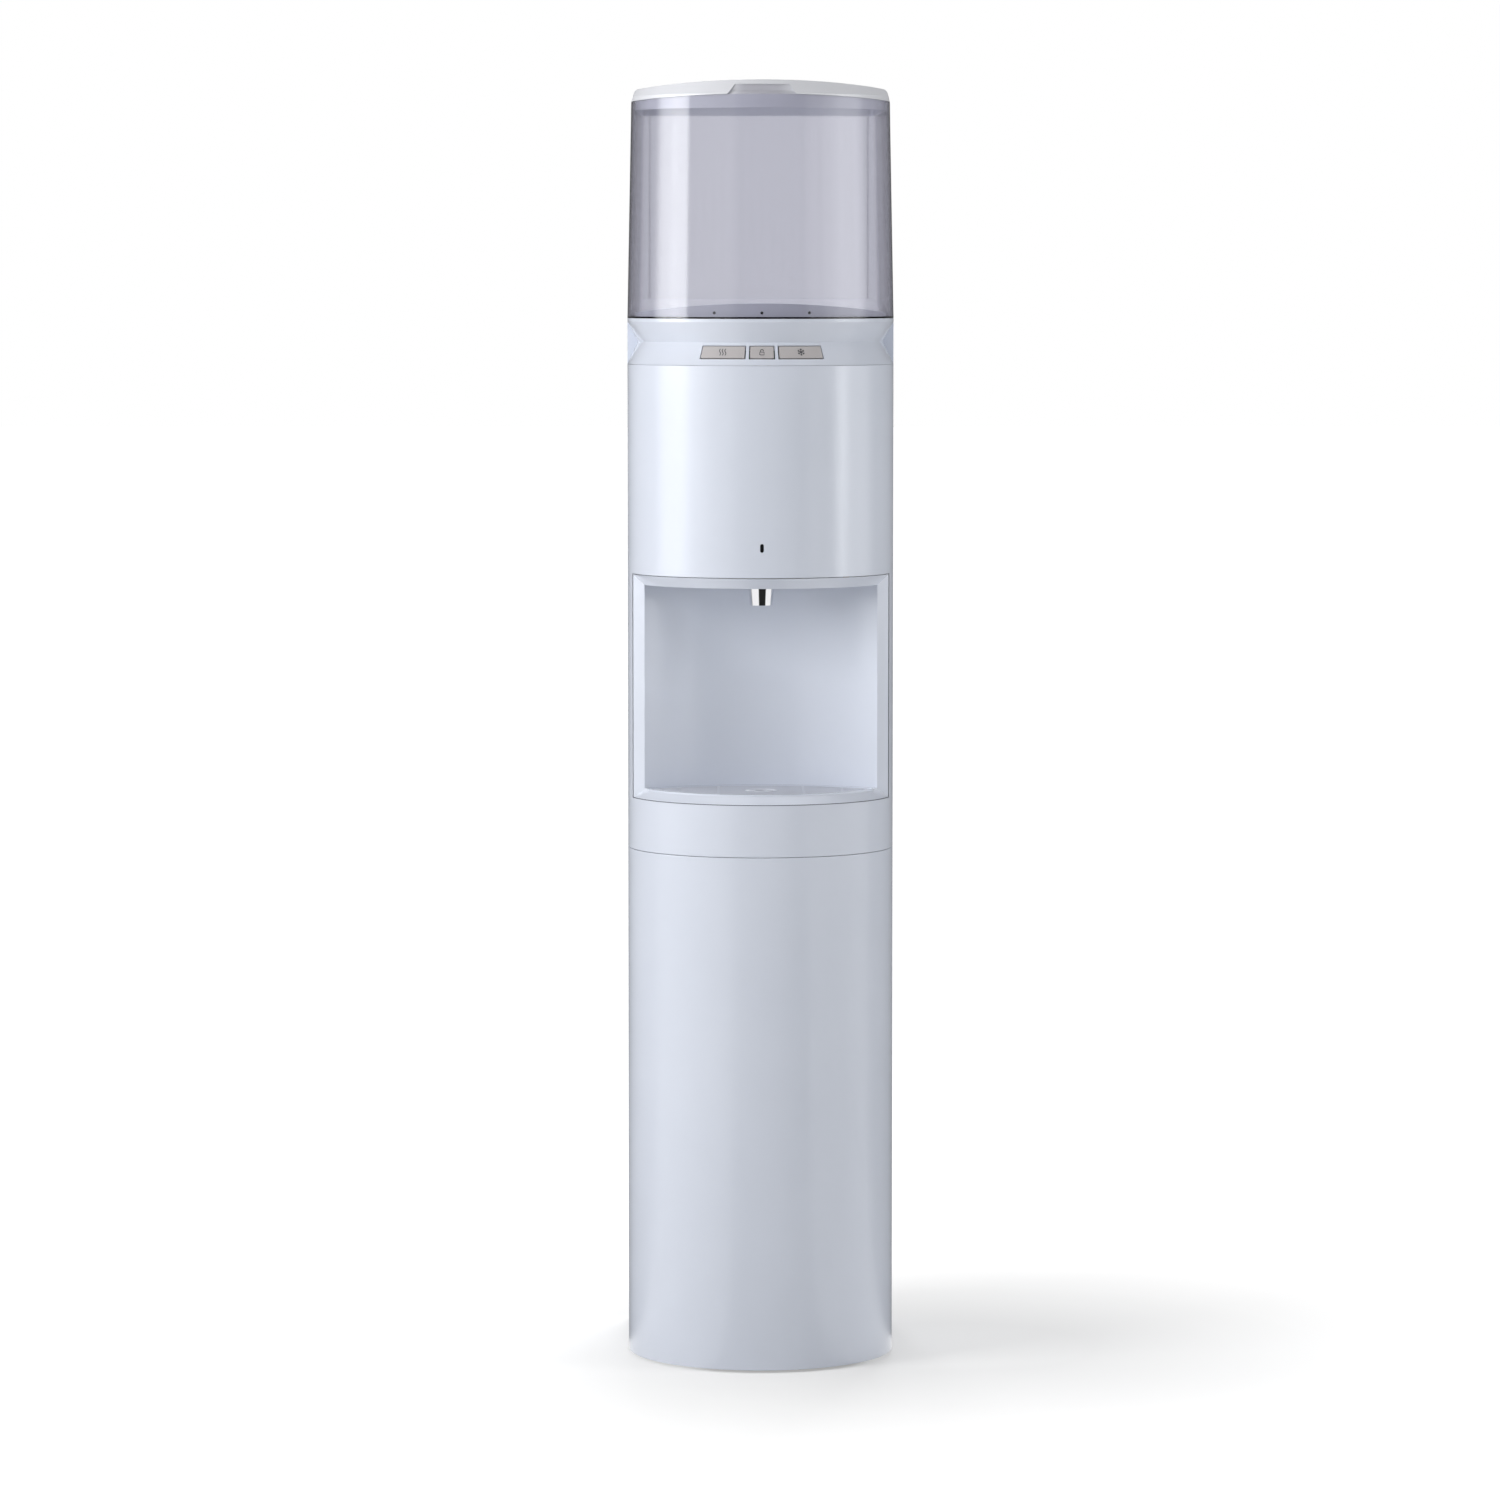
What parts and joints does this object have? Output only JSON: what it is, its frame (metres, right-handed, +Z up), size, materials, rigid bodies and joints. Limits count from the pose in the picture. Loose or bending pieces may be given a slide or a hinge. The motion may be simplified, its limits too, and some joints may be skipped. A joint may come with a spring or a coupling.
{
  "type": "water dispenser",
  "caption": "Floor-standing water dispenser: half-round white cabinet, open alcove with spout and lift-out drip tray, push buttons in a grooved neck and a clear lift-off bottle cover.",
  "frame": {"origin": "on the floor under the middle of the cabinet's bounding box", "axes": "+Z up, the front with the alcove faces -Y, +X to the right seen from the front"},
  "size_m": [0.29, 0.363, 1.391],
  "materials": {
    "shell_white": "pearl gloss",
    "liner_white": "satin",
    "smoke_clear": "clear smoke tint",
    "cap_silver": "silvery pearl",
    "button_grey": "satin",
    "grille_white": "satin",
    "spout_chrome": "polished",
    "lens_black": "gloss",
    "rubber_black": "matte",
    "silicone": "milky",
    "sheet_steel": "galvanised",
    "tank_steel": "satin",
    "screw_steel": "zinc plated",
    "pipe_copper": "drawn",
    "black_metal": "satin",
    "foam_white": "expanded foam",
    "valve_plastic": "plain",
    "heater_mica": "plain",
    "board_green": "lacquered",
    "box_grey": "plain"
  },
  "bodies": {
    "cabinet": {"rubber_feet": "rubber_black", "base_pan": "sheet_steel", "lower_front_casing": "shell_white", "lower_rear_casing": "shell_white", "upper_front_casing": "shell_white", "upper_rear_casing": "shell_white", "frame_uprights": "sheet_steel", "casing_screws": "screw_steel", "mid_shelf": "sheet_steel", "tank_shelf": "sheet_steel", "alcove_canopy": "shell_white", "tray_seat": "liner_white", "alcove_wall": "shell_white", "spout_nozzle": "spout_chrome", "spout_manifold": "valve_plastic", "cold_valve": "valve_plastic", "hot_valve": "valve_plastic", "sensor_lens": "lens_black", "control_neck": "shell_white", "button_board": "board_green", "button_switches": "lens_black", "bottle_deck": "shell_white", "indicator_lenses": "lens_black", "bottle_receiver": "liner_white", "bottle_probe": "liner_white", "probe_seal": "silicone", "cold_tank": "tank_steel", "cold_tank_lid": "liner_white", "evaporator_coil": "pipe_copper", "cold_jacket": "foam_white", "feed_tube": "silicone", "cold_outlet_tube": "silicone", "hot_tank": "tank_steel", "band_heater": "heater_mica", "hot_thermostats": "lens_black", "hot_jacket": "foam_white", "hot_feed_tube": "silicone", "hot_outlet_tube": "silicone", "drain_outlet": "valve_plastic", "drain_hose": "silicone", "inlet_gland": "box_grey", "compressor": "black_metal", "compressor_grommets": "rubber_black", "relay_box": "box_grey", "condenser_tube": "black_metal", "condenser_wires": "black_metal", "filter_drier": "pipe_copper", "discharge_line": "pipe_copper", "suction_line": "pipe_copper", "control_box": "box_grey", "main_board": "board_green"},
    "cover": {"bottle_cover": "smoke_clear", "cover_cap": "cap_silver"},
    "tray": {"drip_tray": "shell_white"},
    "grille": {"drip_grille": "grille_white"},
    "hot_button": {"button_hot": "button_grey"},
    "unlock_button": {"button_unlock": "button_grey"},
    "cold_button": {"button_cold": "button_grey"},
    "drain_plug": {"drain_cap": "box_grey"}
  },
  "joints": [
    {"name": "cover_lift", "type": "slide", "parent": "cabinet", "child": "cover", "axis": [0, 0, 1], "range_m": [0, 0.27]},
    {"name": "tray_lift", "type": "slide", "parent": "cabinet", "child": "tray", "axis": [0, 0, 1], "range_m": [0, 0.06]},
    {"name": "grille_lift", "type": "slide", "parent": "tray", "child": "grille", "axis": [0, 0, 1], "range_m": [0, 0.04]},
    {"name": "hot_press", "type": "slide", "parent": "cabinet", "child": "hot_button", "axis": [0.2712, 0.8561, -0.4399], "range_m": [0, 0.0015], "stiffness_N_per_m": 800, "springref_m": -0.001},
    {"name": "unlock_press", "type": "slide", "parent": "cabinet", "child": "unlock_button", "axis": [0, 0.8981, -0.4399], "range_m": [0, 0.0015], "stiffness_N_per_m": 800, "springref_m": -0.001},
    {"name": "cold_press", "type": "slide", "parent": "cabinet", "child": "cold_button", "axis": [-0.2712, 0.8561, -0.4399], "range_m": [0, 0.0015], "stiffness_N_per_m": 800, "springref_m": -0.001},
    {"name": "drain_turn", "type": "hinge", "parent": "cabinet", "child": "drain_plug", "pos_m": [-0.044, 0.165, 0.062], "axis": [0, 1, 0], "continuous": true}
  ]
}
